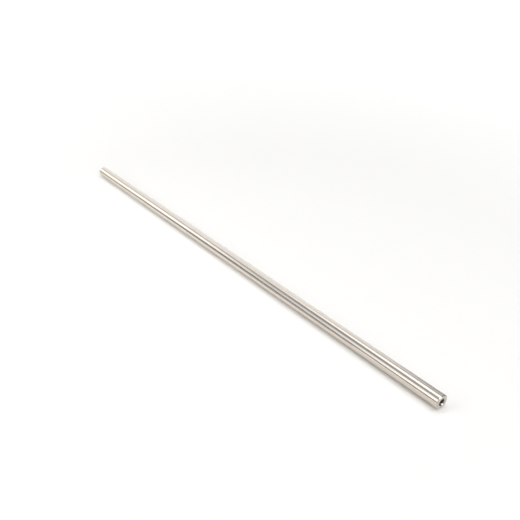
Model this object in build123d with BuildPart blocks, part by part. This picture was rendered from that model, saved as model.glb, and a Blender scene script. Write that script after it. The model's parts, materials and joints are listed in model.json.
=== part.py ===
from build123d import *
import math
import os

# Straight round support rod for a bench stand, in millimetres.
# The bar lies along X. Its tapped end faces +X with the face at x = 0, its plain end
# faces -X, and +Z is up. The axis of the bar is the X axis.

# --- The bar ---
bar_diameter = 12.7            # half-inch ground bar
bar_length = 609.6             # 24 inches over both end faces
tapped_end_chamfer = 0.5       # leg of the 45 degree chamfer round the tapped end
plain_end_chamfer = 0.5        # leg of the 45 degree chamfer round the plain end

# --- The tapped hole, 1/4-20 ---
thread_major_diameter = 6.35   # outside diameter of the screw that it takes
thread_pitch = 1.27            # 20 threads an inch
thread_depth = 12.7            # length of full thread, from the end face
tap_runout = 6.35              # plain hole beyond the full thread, for the taper of the tap
countersink_allowance = 0.05   # how much wider the mouth is than the thread
countersink_angle = 90         # included angle of the mouth
drill_point_angle = 118        # included angle of the twist drill's tip

# --- Sizes that follow from these ---
tap_drill_diameter = thread_major_diameter - thread_pitch
countersink_diameter = thread_major_diameter + countersink_allowance
drill_depth = thread_depth + tap_runout
drill_point_depth = tap_drill_diameter / 2 / math.tan(math.radians(drill_point_angle / 2))


def end_rim(end_face):
    """The round outer edge of an end face."""
    return end_face.edges().filter_by(GeomType.CIRCLE).sort_by(SortBy.RADIUS)[-1]


with BuildPart() as support_rod:
    # The bar is cut to length from round stock.
    with BuildSketch(Plane.YZ):
        Circle(bar_diameter / 2)
    extrude(amount=-bar_length)

    # Each end is faced square and its rim turned to a chamfer.
    tapped_end = support_rod.faces().sort_by(Axis.X)[-1]
    chamfer(end_rim(tapped_end), length=tapped_end_chamfer)
    plain_end = support_rod.faces().sort_by(Axis.X)[0]
    chamfer(end_rim(plain_end), length=plain_end_chamfer)

    # The hole is drilled down the axis and its mouth countersunk ahead of the tap.
    with Locations(Plane.YZ):
        CounterSinkHole(
            radius=tap_drill_diameter / 2,
            counter_sink_radius=countersink_diameter / 2,
            depth=drill_depth,
            counter_sink_angle=countersink_angle,
        )

    # The twist drill leaves its cone at the bottom of the hole.
    with BuildSketch(Plane.XZ):
        with BuildLine():
            Polyline(
                (-drill_depth, 0),
                (-drill_depth, tap_drill_diameter / 2),
                (-drill_depth - drill_point_depth, 0),
                close=True,
            )
        make_face()
    revolve(axis=Axis.X, mode=Mode.SUBTRACT)

support_rod.part.label = "support_rod"

os.makedirs("parts", exist_ok=True)
export_step(support_rod.part, "parts/support_rod.step")

print("bar", bar_diameter, "x", bar_length, "mm")
print("hole drilled", tap_drill_diameter, "x", round(drill_depth, 3), "mm, point", round(drill_point_depth, 3), "mm")
print("volume", round(support_rod.part.volume, 1), "mm3")
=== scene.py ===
# %% [markdown]
# # A ground steel support rod
# A support rod is one straight round bar that stands on a bench and carries clamps and
# holders. It is cut from bright stainless bar, its ends are faced and chamfered on a
# lathe, and one end is drilled and tapped so that a screw can hold it to a base.
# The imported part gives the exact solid. This lesson gives it its surfaces: the fine
# grinding lines round the bar, the turned ends, and the thread that is cut in the hole.

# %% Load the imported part
import json
import math

import bmesh
import bpy
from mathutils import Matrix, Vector

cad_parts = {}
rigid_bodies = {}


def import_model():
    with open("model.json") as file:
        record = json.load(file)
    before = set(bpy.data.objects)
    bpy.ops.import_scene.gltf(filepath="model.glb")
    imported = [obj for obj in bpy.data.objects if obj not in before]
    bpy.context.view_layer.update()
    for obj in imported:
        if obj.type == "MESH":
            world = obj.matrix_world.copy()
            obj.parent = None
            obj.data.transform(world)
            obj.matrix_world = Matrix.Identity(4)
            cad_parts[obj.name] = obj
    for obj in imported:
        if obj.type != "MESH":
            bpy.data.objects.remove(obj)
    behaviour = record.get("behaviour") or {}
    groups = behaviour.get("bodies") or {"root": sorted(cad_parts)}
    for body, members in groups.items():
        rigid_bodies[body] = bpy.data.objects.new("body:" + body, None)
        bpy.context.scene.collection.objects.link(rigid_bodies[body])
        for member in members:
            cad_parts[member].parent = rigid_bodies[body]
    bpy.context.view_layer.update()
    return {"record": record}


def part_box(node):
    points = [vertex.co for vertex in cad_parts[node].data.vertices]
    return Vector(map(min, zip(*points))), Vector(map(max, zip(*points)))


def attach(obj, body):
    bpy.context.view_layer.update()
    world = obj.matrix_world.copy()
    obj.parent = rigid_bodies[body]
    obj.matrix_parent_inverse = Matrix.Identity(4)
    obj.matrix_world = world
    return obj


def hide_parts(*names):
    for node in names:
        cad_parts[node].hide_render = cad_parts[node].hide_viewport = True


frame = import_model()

MM = 0.001
ROD_NODE = "support_rod"

# %% [markdown]
# ## Read the sizes off the part
# The record names the interfaces of the rod with their measured sizes: the bar that
# clamps grip, the wall of the drilled hole, and the two flat ends. Reading them here,
# instead of typing them again, keeps the finished rod the same size as the solid.

# %% Sizes of the bar and of the drilled hole
mounts = {mount["name"]: mount for mount in frame["record"]["mounts"]}
node_low, node_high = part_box(ROD_NODE)

BAR_RADIUS = mounts["bar"]["dims"]["r_mm"] * MM
BAR_LENGTH = node_high.x - node_low.x
CHAMFER = (BAR_LENGTH - mounts["bar"]["dims"]["length_mm"] * MM) / 2

DRILL_RADIUS = mounts["tapped_hole"]["dims"]["r_mm"] * MM
wall_length = mounts["tapped_hole"]["dims"]["length_mm"] * MM
wall_middle = -mounts["tapped_hole"]["pos_m"][0]
SINK_DEPTH = wall_middle - wall_length / 2
DRILL_DEPTH = wall_middle + wall_length / 2
MOUTH_RADIUS = DRILL_RADIUS + SINK_DEPTH
print("bar radius", BAR_RADIUS / MM, "length", round(BAR_LENGTH / MM, 2))
print("chamfer", round(CHAMFER / MM, 3))
print("hole radius", DRILL_RADIUS / MM, "depth", round(DRILL_DEPTH / MM, 3))
print("mouth radius", round(MOUTH_RADIUS / MM, 3))

# %% [markdown]
# ## Draw the outside of the bar as a profile
# A turned part is a half outline spun round its axis, so the outside is drawn as a list
# of (x, radius) points from the middle of the plain end to the mouth of the hole.
# No real edge is a knife edge. Each corner gets a small round that catches the light,
# and a guard point just outside it keeps smooth shading from leaking into the flats.

# %% Round the corners of a profile
EDGE_ROUND = 0.10 * MM
GUARD = 0.15 * MM
ROUND_STEPS = 4


def eased(before, corner, after, radius=EDGE_ROUND):
    """The corner as a short arc between its neighbours, with a guard point on each side."""
    to_before = (before - corner).normalized()
    to_after = (after - corner).normalized()
    half_angle = to_before.angle(to_after) / 2
    reach = radius / math.tan(half_angle)
    centre = corner + (to_before + to_after).normalized() * (radius / math.sin(half_angle))
    start = corner + to_before * reach
    end = corner + to_after * reach
    points = [corner + to_before * (reach + GUARD)]
    for step in range(ROUND_STEPS + 1):
        share = step / ROUND_STEPS
        chord = start.lerp(end, share) - centre
        points.append(centre + chord.normalized() * radius)
    points.append(corner + to_after * (reach + GUARD))
    return points


# %% The outline from the plain end to the mouth of the hole
RING_SPACING = 12.0 * MM
FLAT_RADIUS = BAR_RADIUS - CHAMFER


def point(x, radius):
    """A point of the outline, on the xy plane."""
    return Vector((x, radius, 0.0))


corners = [
    point(-BAR_LENGTH, 0),
    point(-BAR_LENGTH, FLAT_RADIUS),
    point(-BAR_LENGTH + CHAMFER, BAR_RADIUS),
    point(-CHAMFER, BAR_RADIUS),
    point(0, FLAT_RADIUS),
    point(0, MOUTH_RADIUS),
]
rounded = [eased(*corners[i - 1:i + 2]) for i in range(1, 5)]
bar_start, bar_end = rounded[1][-1], rounded[2][0]
ring_count = round((bar_end.x - bar_start.x) / RING_SPACING)
bar_rings = [bar_start.lerp(bar_end, i / ring_count) for i in range(1, ring_count)]

plain_end = [corners[0]] + rounded[0] + rounded[1]
tapped_end = rounded[2] + rounded[3] + [corners[-1]]
print("profile points:", len(plain_end), "+", len(bar_rings), "+", len(tapped_end))

# %% [markdown]
# ## Cut the thread
# A tap leaves a V-shaped groove that winds down the hole. A groove drawn as a stack of
# rings would be wrong: a thread is one helix. Here each line of points follows the helix
# instead, so one groove runs true from the mouth to the end of the thread. The lines run
# out of the hole at both ends, and are held back to the mouth and to the end of the
# thread, where they all fall together and are merged. GROOVE_START says where round the
# mouth the groove comes out, as a share of a turn from the top.

# %% The form of the thread
INCH = 25.4 * MM
THREADS_PER_INCH = 20
PITCH = INCH / THREADS_PER_INCH
MAJOR_RADIUS = DRILL_RADIUS + PITCH / 2
FULL_THREAD = 10 * PITCH
RUN_OUT = 3 * PITCH
FLANK_ANGLE = math.radians(30)
FLANK = (MAJOR_RADIUS - DRILL_RADIUS) * math.tan(FLANK_ANGLE) / PITCH
ROOT_FLAT = 1 / 8
CREST_FLAT = 1 - ROOT_FLAT - 2 * FLANK
GROOVE_START = 0.25


def thread_stations():
    """Where lines run along one pitch, and how deep the groove is there, both from 0 to 1."""
    # Each leg is its share of the pitch, the depth at its start and end, and its lines.
    legs = [(CREST_FLAT, 0, 0, 4), (FLANK, 0, 1, 5), (ROOT_FLAT, 1, 1, 2), (FLANK, 1, 0, 5)]
    stations, place = [], 0.0
    for width, depth_from, depth_to, steps in legs:
        for step in range(steps):
            share = step / steps
            stations.append((place + width * share, depth_from + (depth_to - depth_from) * share))
        place += width
    return stations


STATIONS = thread_stations()
print("major radius", round(MAJOR_RADIUS / MM, 3), "crest flat", round(CREST_FLAT, 3))
print("lines of points in one pitch:", len(STATIONS))


# %% A point of the tapped wall
def wall_point(line, turn):
    """(x, radius) where one helical line stands after this share of a turn."""
    whole, station = divmod(line, len(STATIONS))
    along, groove = STATIONS[station]
    x = -(whole + along + turn - 1) * PITCH
    if x >= 0:
        return 0.0, MOUTH_RADIUS
    thread_end = FULL_THREAD + RUN_OUT
    if x <= -thread_end:
        return -thread_end, DRILL_RADIUS
    fade = min(1.0, (thread_end + x) / RUN_OUT)
    threaded = DRILL_RADIUS + (MAJOR_RADIUS - DRILL_RADIUS) * groove * fade
    countersunk = MOUTH_RADIUS + x
    return x, max(threaded, countersunk)


# %% [markdown]
# ## Spin it all into one closed mesh
# The bar is one piece of steel, so it becomes one closed mesh: the outside, the thread
# and the drilled end of the hole share their rings of points. Bmesh is used because it
# builds the faces one by one, and each face can be told which finish it has. Faces are
# shaded smooth, and only the edges at true corners are marked as crisp.

# %% Turn the profile and the thread into faces
AROUND = 160
GROUND, TURNED, TAPPED, SUNK = 0, 1, 2, 3
SAME_PLACE = 0.0005 * MM
SAME_CONE = 0.001 * MM
CRISP_ANGLE = math.radians(32)
POINT_ANGLE = math.radians(118)
DRILL_POINT = DRILL_RADIUS / math.tan(POINT_ANGLE / 2)


def spun(mesh, x, radius, turn):
    """A point of the rod; turns run clockwise as seen from the tapped end."""
    angle = 2 * math.pi * turn
    return mesh.verts.new((x, radius * math.sin(angle), radius * math.cos(angle)))


def ring(mesh, x, radius):
    """One full circle of points."""
    return [spun(mesh, x, radius, step / AROUND) for step in range(AROUND)]


def skin(mesh, rings, finish):
    """Quads between each ring and the next."""
    for ring_a, ring_b in zip(rings, rings[1:]):
        for a in range(AROUND):
            b = (a + 1) % AROUND
            face = mesh.faces.new((ring_a[a], ring_b[a], ring_b[b], ring_a[b]))
            face.material_index = finish
            face.smooth = True


def cap(mesh, tip_x, edge_ring, finish, faces_back):
    """Triangles from a ring to one point on the axis."""
    tip = mesh.verts.new((tip_x, 0, 0))
    for a in range(AROUND):
        pair = (edge_ring[(a + 1) % AROUND], edge_ring[a])
        face = mesh.faces.new((tip, *pair) if faces_back else (tip, *reversed(pair)))
        face.material_index = finish
        face.smooth = True


def on_countersink(vert):
    """True where a point lies on the cone of the countersink and not down in the groove."""
    cone_radius = MOUTH_RADIUS + vert.co.x
    return abs(math.hypot(vert.co.y, vert.co.z) - cone_radius) < SAME_CONE


def thread(mesh):
    """The helical grid; its last column joins the first one a whole pitch further in."""
    per_pitch = len(STATIONS)
    lines = per_pitch * (math.ceil((FULL_THREAD + RUN_OUT) / PITCH) + 2) + 1
    grid = []
    for step in range(AROUND):
        turn = step / AROUND
        grid.append([spun(mesh, *wall_point(line, turn), turn + GROOVE_START) for line in range(lines)])
    for step in range(AROUND):
        shift = per_pitch if step == AROUND - 1 else 0
        here, there = grid[step], grid[(step + 1) % AROUND]
        for line in range(lines - 1 - shift):
            quad = (here[line], here[line + 1], there[line + 1 + shift], there[line + shift])
            sunk = all(on_countersink(vert) for vert in quad)
            face = mesh.faces.new(quad)
            face.material_index = SUNK if sunk else TAPPED
            face.smooth = True


def is_crisp(edge):
    """True at the sharp corners of the rod; a tap leaves the crests of its thread rounded."""
    tapped = all(face.material_index == TAPPED for face in edge.link_faces)
    return edge.calc_face_angle(0.0) > CRISP_ANGLE and not tapped


# %% Build the rod
mesh = bmesh.new()
plain_rings = [ring(mesh, p.x, p.y) for p in plain_end[1:]]
middle_rings = [ring(mesh, p.x, p.y) for p in bar_rings]
tapped_rings = [ring(mesh, p.x, p.y) for p in tapped_end]
cap(mesh, -BAR_LENGTH, plain_rings[0], TURNED, faces_back=True)
skin(mesh, plain_rings, TURNED)
skin(mesh, [plain_rings[-1], *middle_rings, tapped_rings[0]], GROUND)
skin(mesh, tapped_rings, TURNED)
thread(mesh)
thread_end = -(FULL_THREAD + RUN_OUT)
drill_rings = [ring(mesh, x, DRILL_RADIUS) for x in (thread_end, -DRILL_DEPTH)]
skin(mesh, drill_rings, TAPPED)
cap(mesh, -DRILL_DEPTH - DRILL_POINT, drill_rings[-1], TAPPED, faces_back=False)
bmesh.ops.remove_doubles(mesh, verts=mesh.verts, dist=SAME_PLACE)
bmesh.ops.recalc_face_normals(mesh, faces=mesh.faces)

for edge in mesh.edges:
    edge.smooth = not is_crisp(edge)

open_edges = sum(1 for edge in mesh.edges if not edge.is_manifold)
rod_data = bpy.data.meshes.new("ground_rod")
mesh.to_mesh(rod_data)
volume = mesh.calc_volume()
mesh.free()
rod = bpy.data.objects.new("ground_rod", rod_data)
bpy.context.collection.objects.link(rod)
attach(rod, "root")
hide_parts(ROD_NODE)
print("faces", len(rod_data.polygons), "open edges", open_edges)
print("volume in cubic mm", round(volume / MM ** 3, 1))

# %% [markdown]
# ## Make the steel
# One bar shows four finishes. Its side was ground and rubbed round with fine abrasive,
# and its ends were faced on a lathe. The hole was cut with a tap. Its steel is given a
# very dark colour, painted shade, and the crests of its thread a lighter one, a painted
# highlight. The countersink round its mouth was cut clean, and its colour, darker than
# the bar's, is painted shade too. All four are the same stainless steel, so
# they share two effects, made once as shader node groups: the fine lines that run round
# the axis, and the uneven tone that they give the metal. An image wrapped round the bar
# would do too, but a formula has no seam and stays sharp at any distance.

# %% A short way to add a node
STEEL = (0.64, 0.583, 0.52, 1.0)


def add_node(tree, kind, settings=None, **values):
    """A new node; settings are its menus, and values set its sockets by name."""
    made = tree.nodes.new(kind)
    for key, value in (settings or {}).items():
        setattr(made, key, value)
    for socket, value in values.items():
        made.inputs[socket.replace("_", " ")].default_value = value
    return made


def calculate(tree, operation, first, second):
    """A Math node on two sockets or numbers."""
    made = add_node(tree, "ShaderNodeMath", {"operation": operation})
    for socket, source in zip(made.inputs, (first, second)):
        if isinstance(source, (int, float)):
            socket.default_value = source
        else:
            tree.links.new(source, socket)
    return made.outputs[0]


def map_range(tree, from_low, from_high, to_low, to_high):
    """A Map Range node; its Value socket still has to be linked."""
    made = add_node(tree, "ShaderNodeMapRange")
    made.inputs["From Min"].default_value = from_low
    made.inputs["From Max"].default_value = from_high
    made.inputs["To Min"].default_value = to_low
    made.inputs["To Max"].default_value = to_high
    return made


# %% [markdown]
# ## Lines that run round the axis
# Abrasive and lathe tools both leave lines round the axis. Along the bar they are spaced
# in x, and across a faced end they are spaced in radius, so x and radius are added: one
# of the two always changes from line to line. The place round the axis enters as a point
# on a unit circle, which has no start and no end, and so no seam.

# %% The group for lines round the axis
LINE_FINENESS = 0.6


def make_axis_lines():
    """Object place in, and the line pattern (0 to 1) and the distance from the axis out."""
    group = bpy.data.node_groups.new("axis_lines", "ShaderNodeTree")
    for name in ("Lines per metre", "Breaks around", "Detail"):
        group.interface.new_socket(name, in_out="INPUT", socket_type="NodeSocketFloat")
    group.interface.new_socket("Line", in_out="OUTPUT", socket_type="NodeSocketFloat")
    group.interface.new_socket("Radius", in_out="OUTPUT", socket_type="NodeSocketFloat")
    entry = add_node(group, "NodeGroupInput")
    leave = add_node(group, "NodeGroupOutput")
    place = add_node(group, "ShaderNodeTexCoord")
    parts = add_node(group, "ShaderNodeSeparateXYZ")
    group.links.new(place.outputs["Object"], parts.inputs[0])
    flat = add_node(group, "ShaderNodeCombineXYZ")
    group.links.new(parts.outputs["Y"], flat.inputs["Y"])
    group.links.new(parts.outputs["Z"], flat.inputs["Z"])
    length = add_node(group, "ShaderNodeVectorMath", {"operation": "LENGTH"})
    group.links.new(flat.outputs[0], length.inputs[0])
    circle = add_node(group, "ShaderNodeVectorMath", {"operation": "NORMALIZE"})
    group.links.new(flat.outputs[0], circle.inputs[0])
    around = add_node(group, "ShaderNodeVectorMath", {"operation": "SCALE"})
    group.links.new(circle.outputs[0], around.inputs[0])
    group.links.new(entry.outputs["Breaks around"], around.inputs["Scale"])
    along = calculate(group, "ADD", parts.outputs["X"], length.outputs["Value"])
    spaced = calculate(group, "MULTIPLY", along, entry.outputs["Lines per metre"])
    shift = add_node(group, "ShaderNodeCombineXYZ")
    group.links.new(spaced, shift.inputs["X"])
    joined = add_node(group, "ShaderNodeVectorMath", {"operation": "ADD"})
    group.links.new(around.outputs[0], joined.inputs[0])
    group.links.new(shift.outputs[0], joined.inputs[1])
    noise = add_node(group, "ShaderNodeTexNoise", {"noise_dimensions": "3D"}, Scale=1.0)
    noise.inputs["Roughness"].default_value = LINE_FINENESS
    group.links.new(joined.outputs[0], noise.inputs["Vector"])
    group.links.new(entry.outputs["Detail"], noise.inputs["Detail"])
    group.links.new(noise.outputs["Fac"], leave.inputs["Line"])
    group.links.new(length.outputs["Value"], leave.inputs["Radius"])
    return group


AXIS_LINES = make_axis_lines()
print("group", AXIS_LINES.name, "sockets", [item.name for item in AXIS_LINES.interface.items_tree])

# %% [markdown]
# ## The uneven tone of the metal
# Ground steel is never one colour. Where the abrasive bit deeper, a line is a little
# darker and rougher, and handling leaves broad faint patches. The group takes the plain
# colour and roughness and moves both by the same two masks.

# %% The group for uneven tone
PATCHES_PER_METRE = 60.0


def make_metal_tone():
    """A plain colour and roughness in, and the same two made uneven out."""
    group = bpy.data.node_groups.new("metal_tone", "ShaderNodeTree")
    group.interface.new_socket("Color", in_out="INPUT", socket_type="NodeSocketColor")
    for name in ("Roughness", "Line", "Line strength", "Patch strength"):
        group.interface.new_socket(name, in_out="INPUT", socket_type="NodeSocketFloat")
    group.interface.new_socket("Color", in_out="OUTPUT", socket_type="NodeSocketColor")
    group.interface.new_socket("Roughness", in_out="OUTPUT", socket_type="NodeSocketFloat")
    entry = add_node(group, "NodeGroupInput")
    leave = add_node(group, "NodeGroupOutput")
    place = add_node(group, "ShaderNodeTexCoord")
    patches = add_node(group, "ShaderNodeTexNoise", {"noise_dimensions": "3D"}, Detail=3.0)
    patches.inputs["Scale"].default_value = PATCHES_PER_METRE
    group.links.new(place.outputs["Object"], patches.inputs["Vector"])
    line = calculate(group, "SUBTRACT", entry.outputs["Line"], 0.5)
    line = calculate(group, "MULTIPLY", line, entry.outputs["Line strength"])
    patch = calculate(group, "SUBTRACT", patches.outputs["Fac"], 0.5)
    patch = calculate(group, "MULTIPLY", patch, entry.outputs["Patch strength"])
    change = calculate(group, "ADD", line, patch)
    gain = calculate(group, "ADD", change, 1.0)
    tinted = add_node(group, "ShaderNodeVectorMath", {"operation": "SCALE"})
    group.links.new(entry.outputs["Color"], tinted.inputs[0])
    group.links.new(gain, tinted.inputs["Scale"])
    group.links.new(tinted.outputs[0], leave.inputs["Color"])
    loss = calculate(group, "SUBTRACT", 1.0, change)
    rough = calculate(group, "MULTIPLY", entry.outputs["Roughness"], loss)
    group.links.new(rough, leave.inputs["Roughness"])
    return group


METAL_TONE = make_metal_tone()
print("group", METAL_TONE.name, "sockets", [item.name for item in METAL_TONE.interface.items_tree])

# %% [markdown]
# ## The finishes
# Polished metal is mostly what it reflects. Two settings of the Principled shader make
# it this steel. Anisotropy, turned a quarter turn from lines round the axis, smears each
# reflection along the bar and keeps it crisp across it. The specular tint of a metal is
# its colour at a grazing view; iron alloys dip there, so the edges stay grey and don't
# flare to white.

# %% One steel material
EDGE_TINT = (0.78, 0.78, 0.78, 1.0)
QUARTER_TURN = 0.25
# Between these two radii a thread's colour turns from the painted highlight of its crests to the painted
# shade of its roots.
CREST_RADIUS = DRILL_RADIUS + 0.10 * MM
ROOT_RADIUS = DRILL_RADIUS + 0.20 * MM
FIRST_COLOR, SECOND_COLOR, MIXED_COLOR = 6, 7, 2


def steel(name, color, roughness, anisotropy, lines, line_tone, patch_tone, bump_height, crest=None):
    """A steel finish; lines are its (lines a metre, breaks around, detail).

    A crest is a lighter colour, a painted highlight, for the metal nearest the axis, as
    on the crests of a thread. Blender's Mix node numbers its colour sockets, so the three
    that are used have names above.
    """
    material = bpy.data.materials.new(name)
    material.use_nodes = True
    tree = material.node_tree
    shader = tree.nodes["Principled BSDF"]
    shader.inputs["Metallic"].default_value = 1.0
    shader.inputs["Specular Tint"].default_value = EDGE_TINT
    shader.inputs["Anisotropic"].default_value = anisotropy
    shader.inputs["Anisotropic Rotation"].default_value = QUARTER_TURN
    tangent = add_node(tree, "ShaderNodeTangent", {"direction_type": "RADIAL", "axis": "X"})
    tree.links.new(tangent.outputs[0], shader.inputs["Tangent"])
    line = add_node(tree, "ShaderNodeGroup", {"node_tree": AXIS_LINES})
    for socket, value in zip(line.inputs, lines):
        socket.default_value = value
    tone = add_node(tree, "ShaderNodeGroup", {"node_tree": METAL_TONE}, Color=color, Roughness=roughness)
    tone.inputs["Line strength"].default_value = line_tone
    tone.inputs["Patch strength"].default_value = patch_tone
    tree.links.new(line.outputs["Line"], tone.inputs["Line"])
    if crest:
        depth = map_range(tree, CREST_RADIUS, ROOT_RADIUS, 1.0, 0.0)
        tree.links.new(line.outputs["Radius"], depth.inputs["Value"])
        pick = add_node(tree, "ShaderNodeMix", {"data_type": "RGBA"})
        tree.links.new(depth.outputs[0], pick.inputs["Factor"])
        pick.inputs[FIRST_COLOR].default_value = color
        pick.inputs[SECOND_COLOR].default_value = crest
        tree.links.new(pick.outputs[MIXED_COLOR], tone.inputs["Color"])
    tree.links.new(tone.outputs["Color"], shader.inputs["Base Color"])
    tree.links.new(tone.outputs["Roughness"], shader.inputs["Roughness"])
    bump = add_node(tree, "ShaderNodeBump", None, Strength=1.0, Distance=bump_height)
    tree.links.new(line.outputs["Line"], bump.inputs["Height"])
    tree.links.new(bump.outputs["Normal"], shader.inputs["Normal"])
    return material


# %% Give the rod its finishes
# The very dark hole colour is painted shade, and the lighter crest colour is a painted highlight.
HOLE_SHADE_STEEL = (0.05, 0.043, 0.037, 1.0)
CREST_HIGHLIGHT_STEEL = (0.26, 0.23, 0.21, 1.0)
# The countersink's colour, darker than the bar's, is painted shade at the mouth of the hole.
SINK_SHADE_STEEL = (0.42, 0.37, 0.33, 1.0)
ground_bar = steel(
    "ground_bar", STEEL, roughness=0.15, anisotropy=0.8, lines=(700, 1.5, 3.0),
    line_tone=0.16, patch_tone=0.06, bump_height=0.03 * MM,
)
turned_end = steel(
    "turned_end", STEEL, roughness=0.25, anisotropy=0.6, lines=(4000, 1.0, 2.0),
    line_tone=0.25, patch_tone=0.10, bump_height=0.01 * MM,
)
tapped_hole = steel(
    "tapped_hole", HOLE_SHADE_STEEL, roughness=0.30, anisotropy=0.6, lines=(3000, 4.0, 2.0),
    line_tone=0.50, patch_tone=0.30, bump_height=0.02 * MM, crest=CREST_HIGHLIGHT_STEEL,
)
countersink = steel(
    "countersink", SINK_SHADE_STEEL, roughness=0.12, anisotropy=0.0, lines=(4000, 1.0, 2.0),
    line_tone=0.25, patch_tone=0.10, bump_height=0.01 * MM,
)
for finish in (ground_bar, turned_end, tapped_hole, countersink):
    rod_data.materials.append(finish)
print("finishes:", [finish.name for finish in rod_data.materials])

# %% [markdown]
# ## Set up the studio
# Shiny metal needs a room to reflect. The lamps light the floor and the shadow, and big
# plain cards, which only the metal sees, stand where a studio has its softboxes, its
# dark ceiling and its walls. A card fades between the colours of its corners. The upper
# edge of a softbox is a little cool and its lower edge a little warm.

# %% A flat sheet
STUDIO = 2.5  # how far the ceiling and the side walls are from the rod
NEUTRAL = (1.0, 1.0, 1.0)
COOL = (0.86, 0.98, 1.13)
WARM = (1.05, 0.98, 0.90)


def sheet(name, corners, brightness, tints):
    """A flat sheet; each corner has its own brightness and tint."""
    data = bpy.data.meshes.new(name)
    data.from_pydata([tuple(corner) for corner in corners], [], [tuple(range(len(corners)))])
    layer = data.color_attributes.new("shade", "FLOAT_COLOR", "POINT")
    for item, level, tint in zip(layer.data, brightness, tints):
        item.color = (level * tint[0], level * tint[1], level * tint[2], 1.0)
    piece = bpy.data.objects.new(name, data)
    bpy.context.collection.objects.link(piece)
    return piece


# %% What rays see as white
def seen_white(tree):
    """1 for rays from the camera, from metal and from glass, and 0 for the light on the rod."""
    path = add_node(tree, "ShaderNodeLightPath")
    shiny = calculate(tree, "MAXIMUM", path.outputs["Is Glossy Ray"], path.outputs["Is Transmission Ray"])
    return calculate(tree, "MAXIMUM", path.outputs["Is Camera Ray"], shiny)


# %% [markdown]
# ## The floor and the world
# A white sheet lies under the rod. Its colour is a plain near-white that the lamps
# light, so it holds the rod's soft shadow. Further out it glows a little in its own
# right, where the lamps don't reach, and so it stays white to the edge of the view.
# The colour that the metal sees is painted light: it grows brighter towards the far end of the rod.

# %% The floor
FLOOR_COLOR = 0.93
FLOOR_GLOW = 0.07
FAR_GLOW = 0.9
GLOW_START = 0.35
GLOW_END = 3.0
ROD_MIDDLE = (-BAR_LENGTH / 2, 0.0, -BAR_RADIUS)
FLOOR_HALF = 12.0
# Painted light: the floor colour for reflections alone, from the tapped end to the far end.
NEAR_FLOOR = 0.94
FAR_FLOOR = 1.18
NEAR_FLOOR_X = -0.04
FAR_FLOOR_X = -0.25

floor_z = -BAR_RADIUS
floor_signs = ((-1, -1), (1, -1), (1, 1), (-1, 1))
floor_corners = [(x * FLOOR_HALF, y * FLOOR_HALF, floor_z) for x, y in floor_signs]
floor = sheet("floor", floor_corners, [1.0] * 4, [NEUTRAL] * 4)


def floor_material():
    """White paper that the lamps light, with a glow of its own far from the rod."""
    material = bpy.data.materials.new("white_floor")
    material.use_nodes = True
    tree = material.node_tree
    tree.nodes.clear()
    place = add_node(tree, "ShaderNodeTexCoord")
    parts = add_node(tree, "ShaderNodeSeparateXYZ")
    tree.links.new(place.outputs["Object"], parts.inputs[0])
    path = add_node(tree, "ShaderNodeLightPath")
    # Painted light for glossy rays, brighter towards the far end of the rod.
    along = map_range(tree, FAR_FLOOR_X, NEAR_FLOOR_X, FAR_FLOOR, NEAR_FLOOR)
    tree.links.new(parts.outputs["X"], along.inputs["Value"])
    pick = add_node(tree, "ShaderNodeMix", {"data_type": "FLOAT"}, A=FLOOR_COLOR)
    tree.links.new(path.outputs["Is Glossy Ray"], pick.inputs["Factor"])
    tree.links.new(along.outputs[0], pick.inputs["B"])
    paper = add_node(tree, "ShaderNodeBsdfDiffuse")
    tree.links.new(pick.outputs[0], paper.inputs["Color"])
    reach = add_node(tree, "ShaderNodeVectorMath", {"operation": "DISTANCE"})
    tree.links.new(place.outputs["Object"], reach.inputs[0])
    reach.inputs[1].default_value = ROD_MIDDLE
    fade = map_range(tree, GLOW_START, GLOW_END, FLOOR_GLOW, FAR_GLOW)
    tree.links.new(reach.outputs["Value"], fade.inputs["Value"])
    glow = add_node(tree, "ShaderNodeEmission")
    tree.links.new(calculate(tree, "MULTIPLY", seen_white(tree), fade.outputs[0]), glow.inputs["Strength"])
    both = add_node(tree, "ShaderNodeAddShader")
    tree.links.new(paper.outputs[0], both.inputs[0])
    tree.links.new(glow.outputs[0], both.inputs[1])
    leave = add_node(tree, "ShaderNodeOutputMaterial")
    tree.links.new(both.outputs[0], leave.inputs["Surface"])
    return material


floor.data.materials.append(floor_material())
print("floor under the rod at z", round(floor_z / MM, 2))

# %% The world round the studio
AMBIENT = 0.17
SKY_TINT = (1.0, 0.99, 0.965, 1.0)
world = bpy.data.worlds.new("studio")
bpy.context.scene.world = world
world.use_nodes = True
sky = world.node_tree
level = map_range(sky, 0.0, 1.0, AMBIENT, 1.0)
sky.links.new(seen_white(sky), level.inputs["Value"])
sky.nodes["Background"].inputs["Color"].default_value = SKY_TINT
sky.links.new(level.outputs[0], sky.nodes["Background"].inputs["Strength"])
print("light from all round, on the rod:", AMBIENT)

# %% [markdown]
# ## The lamps
# Three soft lamps are enough. A wide one overhead gives the shadow under the rod, a
# smaller one from the left front lifts it, and a low one from the right thins it out
# under the tapped end. The metal doesn't see the lamps: it sees the cards, whose size
# and place can be chosen without changing the light on the floor.

# %% Three soft lamps
KEY = 2.1
FILL = 2.2
RIGHT = 4.2
LAMP_WARMTH = (1.0, 0.985, 0.95)


def lamp(name, centre, look, width, height, radiance, color):
    """A soft lamp; its power follows from its area, so a larger lamp isn't dimmer."""
    light = bpy.data.lights.new(name, "AREA")
    light.shape = "RECTANGLE"
    light.size = width
    light.size_y = height
    light.energy = radiance * width * height * math.pi
    light.color = color
    stand = bpy.data.objects.new(name, light)
    bpy.context.collection.objects.link(stand)
    stand.location = centre
    stand.rotation_mode = "QUATERNION"
    stand.rotation_quaternion = (Vector(look) - Vector(centre)).to_track_quat("-Z", "Y")
    stand.visible_camera = False
    stand.visible_glossy = False
    print("lamp", name, "power", round(light.energy, 1))


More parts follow.
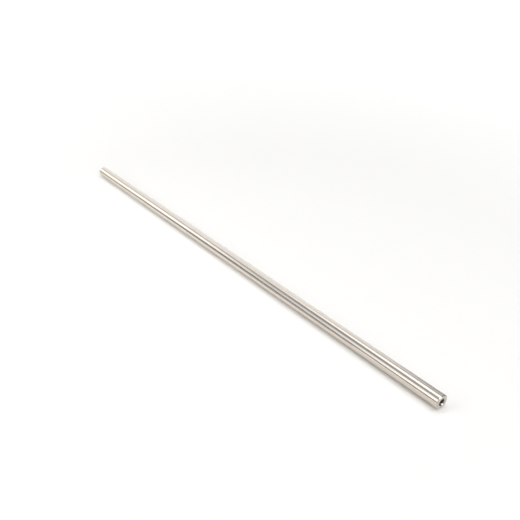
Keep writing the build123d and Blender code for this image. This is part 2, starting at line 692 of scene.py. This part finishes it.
OVERHEAD_SIZE = (3.4, 2.6)
FILL_SIZE = (0.8, 0.8)
RIGHT_SIZE = (0.5, 0.5)
lamp("overhead", (-0.1, 0.50, STUDIO), (-0.1, 0.50, 0.0), *OVERHEAD_SIZE, KEY, NEUTRAL)
lamp("fill", (-0.75, -0.85, 0.7), (-0.5, 0.0, 0.0), *FILL_SIZE, FILL, LAMP_WARMTH)
lamp("right", (1.0, -0.35, 0.7), (0.0, 0.0, 0.0), *RIGHT_SIZE, RIGHT, LAMP_WARMTH)

# %% [markdown]
# ## The cards that the steel reflects
# Each band along the bar is one row of cards. From the top of the bar down to the floor
# they are the far wall, the overhead softbox, the dark ceiling in front of it, the
# softbox on the left, the dark horizon, and then the white floor. The tapped end faces
# the right side of the studio, where a softbox, a bulb in it and a low bright strip put
# a glint into the mouth of the hole. Three dark sheets lie just over the floor, where only
# the metal sees them. They are painted shade on the floor that the metal reflects, on the
# near side of the rod, behind its tapped end and to its right, and they keep the metal
# from looking washed out.

# %% A card seen only by the metal
def card_material():
    """A plain glow in the shades that the card's corners carry."""
    material = bpy.data.materials.new("studio_card")
    material.use_nodes = True
    tree = material.node_tree
    tree.nodes.clear()
    shade = add_node(tree, "ShaderNodeAttribute", {"attribute_name": "shade"})
    glow = add_node(tree, "ShaderNodeEmission")
    tree.links.new(shade.outputs["Color"], glow.inputs["Color"])
    leave = add_node(tree, "ShaderNodeOutputMaterial")
    tree.links.new(glow.outputs[0], leave.inputs["Surface"])
    return material


CARD = card_material()


def card(name, corners, brightness, tints):
    """A glowing sheet that the camera and the lamps' light pass through."""
    piece = sheet(name, corners, brightness, tints)
    piece.data.materials.append(CARD)
    piece.visible_camera = False
    piece.visible_diffuse = False
    piece.visible_shadow = False
    return piece


def plain_card(name, corners, level):
    """A card of one even brightness."""
    return card(name, corners, [level] * len(corners), [NEUTRAL] * len(corners))


def card_count():
    """How many cards the studio has by now."""
    return sum(1 for piece in bpy.data.objects if piece.active_material == CARD)


def ceiling_card(name, x, y, brightness, near=NEUTRAL, far=NEUTRAL):
    """A card overhead; x, y and brightness each go from one side to the other."""
    corners = [(x[0], y[0], STUDIO), (x[1], y[0], STUDIO), (x[1], y[1], STUDIO), (x[0], y[1], STUDIO)]
    levels = [brightness[0], brightness[1], brightness[1], brightness[0]]
    return card(name, corners, levels, [near, near, far, far])


def wall_card(name, y, x, left, right, brightness, low=NEUTRAL, high=NEUTRAL):
    """A card on a wall; left and right are its (lowest, highest) z on those sides."""
    corners = [(x[0], y, left[0]), (x[1], y, right[0]), (x[1], y, right[1]), (x[0], y, left[1])]
    levels = [brightness[0], brightness[1], brightness[1], brightness[0]]
    return card(name, corners, levels, [low, low, high, high])


# %% The ceiling
SOFTBOX = [(-1.54, -0.42, STUDIO), (1.6, -0.42, STUDIO), (1.6, 1.8, STUDIO), (-1.54, 0.94, STUDIO)]
CEILING_GAP = [
    (-1.58, -0.42, STUDIO), (-3.1, -0.3, STUDIO), (-3.5, -2.5, STUDIO), (-1.58, -2.25, STUDIO),
]
card("overhead_softbox", SOFTBOX, [2.0, 2.2, 2.2, 2.0], [WARM, WARM, COOL, COOL])
ceiling_card("overhead_softbox_rim", (-2.77, -1.54), (-0.42, 0.90), (1.0, 2.0), WARM, COOL)
ceiling_card("ceiling_gap_right", (-1.58, 0.5), (-2.25, -0.42), (0.60, 0.62))
plain_card("ceiling_gap", CEILING_GAP, 0.42)
ceiling_card("ceiling_tail", (-5.5, -3.1), (-0.95, -0.05), (0.58, 0.65))
ceiling_card("ceiling_far_left", (-12.0, -2.8), (0.0, 2.6), (1.38, 1.28))
ceiling_card("ceiling_far", (-2.8, -1.56), (0.9, 2.6), (1.2, 0.60))
ceiling_card("ceiling_far_right", (-1.56, 3.0), (0.9, 2.6), (0.60, 0.5))
ceiling_card("left_softbox_lip", (-2.2, 3.0), (-2.5, -2.25), (1.2, 1.6), COOL, COOL)
print("cards so far:", card_count())

# %% The left wall and the horizon
LEFT_WALL = -STUDIO
HORIZON = -2.4
UPPER = (0.62, STUDIO)
wall_card("left_softbox", LEFT_WALL, (-1.4, 3.0), UPPER, UPPER, (1.88, 1.88), WARM, COOL)
wall_card("left_softbox_rim", LEFT_WALL, (-2.12, -1.4), UPPER, UPPER, (1.15, 1.88), WARM, COOL)
wall_card("left_softbox_edge", LEFT_WALL, (-3.15, -2.12), UPPER, UPPER, (0.84, 1.15), NEUTRAL, COOL)
wall_card("left_wall", LEFT_WALL, (-3.55, -3.15), UPPER, UPPER, (1.2, 0.86))
wall_card("left_wall_far", LEFT_WALL, (-4.1, -3.55), UPPER, UPPER, (1.75, 1.2))
wall_card("left_horizon_far", HORIZON, (-8.0, -4.3), (0.0, 1.45), (0.0, 0.64), (0.35, 0.12))
wall_card("left_horizon_middle", HORIZON, (-4.3, -3.5), (0.0, 0.64), (0.0, 0.95), (0.12, 0.05))
wall_card("left_horizon", HORIZON, (-3.5, -1.9), (0.0, 0.92), (0.0, 0.46), (0.05, 0.05))
wall_card("left_horizon_near", HORIZON, (-1.9, 1.0), (0.0, 0.46), (0.0, 0.42), (0.05, 0.2))
LEFT_FAR_TOP = [(-5.5, -1.25, 4.45), (-5.5, -2.9, 3.85), (-5.5, -4.1, 2.9)]
LEFT_FAR_FOOT = [(-5.5, -4.1, 1.2), (-5.5, -2.3, 0.6), (-5.5, -0.55, 2.2)]
card("left_far_softbox", LEFT_FAR_TOP + LEFT_FAR_FOOT, [2.1] * 6, [COOL] * 3 + [WARM] * 3)
print("cards so far:", card_count())

# %% The sheets of painted shade just over the floor
# Dark sheets seen only by the metal: painted shade on the floor that it reflects.
SHADE_SHEET_Z = floor_z + 0.3 * MM
SHADE_SHEET_NEAR_EDGE = [(-0.6, -0.03, SHADE_SHEET_Z), (-0.38, -0.02, SHADE_SHEET_Z), (-0.2, -0.018, SHADE_SHEET_Z), (-0.105, -0.026, SHADE_SHEET_Z)]
SHADE_SHEET_FAR_EDGE = [(-1.5, HORIZON, SHADE_SHEET_Z), (-8.0, HORIZON, SHADE_SHEET_Z)]
RIGHT_SHADE_SHEET = [(0.004, 0.0, SHADE_SHEET_Z), (0.012, -0.012, SHADE_SHEET_Z), (0.25, -0.3, SHADE_SHEET_Z), (0.25, 0.02, SHADE_SHEET_Z)]
BACK_SHADE_SHEET = [(-0.06, 0.022, SHADE_SHEET_Z), (0.04, 0.022, SHADE_SHEET_Z), (1.6, 2.4, SHADE_SHEET_Z), (-0.4, 2.4, SHADE_SHEET_Z)]
card("painted_shade_near", SHADE_SHEET_NEAR_EDGE + SHADE_SHEET_FAR_EDGE, [1.1, 1.05, 0.73, 0.68, 0.66, 0.85], [NEUTRAL] * 6)
plain_card("painted_shade_right", RIGHT_SHADE_SHEET, 0.65)
card("painted_shade_back", BACK_SHADE_SHEET, [0.6, 0.2, 0.2, 0.6], [NEUTRAL] * 4)
print("cards so far:", card_count())

# %% The far wall
FAR_WALL = STUDIO + 0.1
WHOLE = (0.0, STUDIO)
wall_card("backdrop", FAR_WALL, (-12.0, -2.8), WHOLE, WHOLE, (1.40, 1.36))
wall_card("backdrop_near", FAR_WALL, (-2.8, -1.8), WHOLE, WHOLE, (1.36, 1.30))
wall_card("backdrop_edge", FAR_WALL, (-1.8, -1.44), WHOLE, WHOLE, (1.30, 0.55))
wall_card("backdrop_right", FAR_WALL, (-1.44, 4.0), WHOLE, WHOLE, (0.55, 0.35))
wall_card("right_gap", STUDIO, (0.1, 4.0), WHOLE, WHOLE, (0.35, 0.25))
print("cards so far:", card_count())

# %% The right side, which lights the tapped end
RIGHT_SOFTBOX = [(3.0, -0.1, 1.2), (3.0, 1.3, 1.4), (3.0, 1.3, 2.4), (3.0, -0.1, 2.1)]
RIGHT_EDGE = [(3.0, -0.8, 0.9), (3.0, -0.1, 1.2), (3.0, -0.1, 2.1), (3.0, -0.8, 1.9)]
RIGHT_BULB = [(2.98, 0.15, 1.4), (2.98, 0.7, 1.5), (2.98, 0.7, 2.1), (2.98, 0.15, 2.0)]
RIGHT_STRIP = [(2.97, 0.35, 0.55), (2.97, 1.0, 0.75), (2.97, 0.85, 1.3), (2.97, 0.1, 1.15)]
RIGHT_WALL = [(3.1, -3.0, 0.0), (3.1, 3.0, 0.0), (3.1, 3.0, 3.0), (3.1, -3.0, 3.0)]
plain_card("right_softbox", RIGHT_SOFTBOX, 4.0)
card("right_softbox_edge", RIGHT_EDGE, [1.2, 2.0, 2.0, 1.2], [NEUTRAL] * 4)
plain_card("right_bulb", RIGHT_BULB, 9.0)
plain_card("right_strip", RIGHT_STRIP, 32.0)
plain_card("right_wall", RIGHT_WALL, 0.5)
print("cards in all:", card_count())

# %% [markdown]
# ## The camera
# The rod is seen from above and to the right of its tapped end, so its length runs away
# into the distance and the hole faces the viewer.

# %% Place the camera
CAMERA_PLACE = (0.21589, -0.33455, 0.33084)
CAMERA_AZIMUTH = math.radians(53.302)
CAMERA_ELEVATION = math.radians(28.941)
lens = bpy.data.cameras.new("camera")
lens.lens = 44.01
lens.sensor_width = 36.0
lens.clip_start = 0.01
lens.clip_end = 50.0
camera = bpy.data.objects.new("camera", lens)
bpy.context.collection.objects.link(camera)
towards_camera = Vector((
    math.sin(CAMERA_AZIMUTH) * math.cos(CAMERA_ELEVATION),
    -math.cos(CAMERA_AZIMUTH) * math.cos(CAMERA_ELEVATION),
    math.sin(CAMERA_ELEVATION),
))
camera.location = CAMERA_PLACE
camera.rotation_mode = "QUATERNION"
camera.rotation_quaternion = (-towards_camera).to_track_quat("-Z", "Y")
bpy.context.scene.camera = camera
bpy.context.scene.view_settings.view_transform = "Standard"
print("camera", lens.lens, "mm lens,", round((Vector(CAMERA_PLACE)).length, 3), "m from the tapped end")
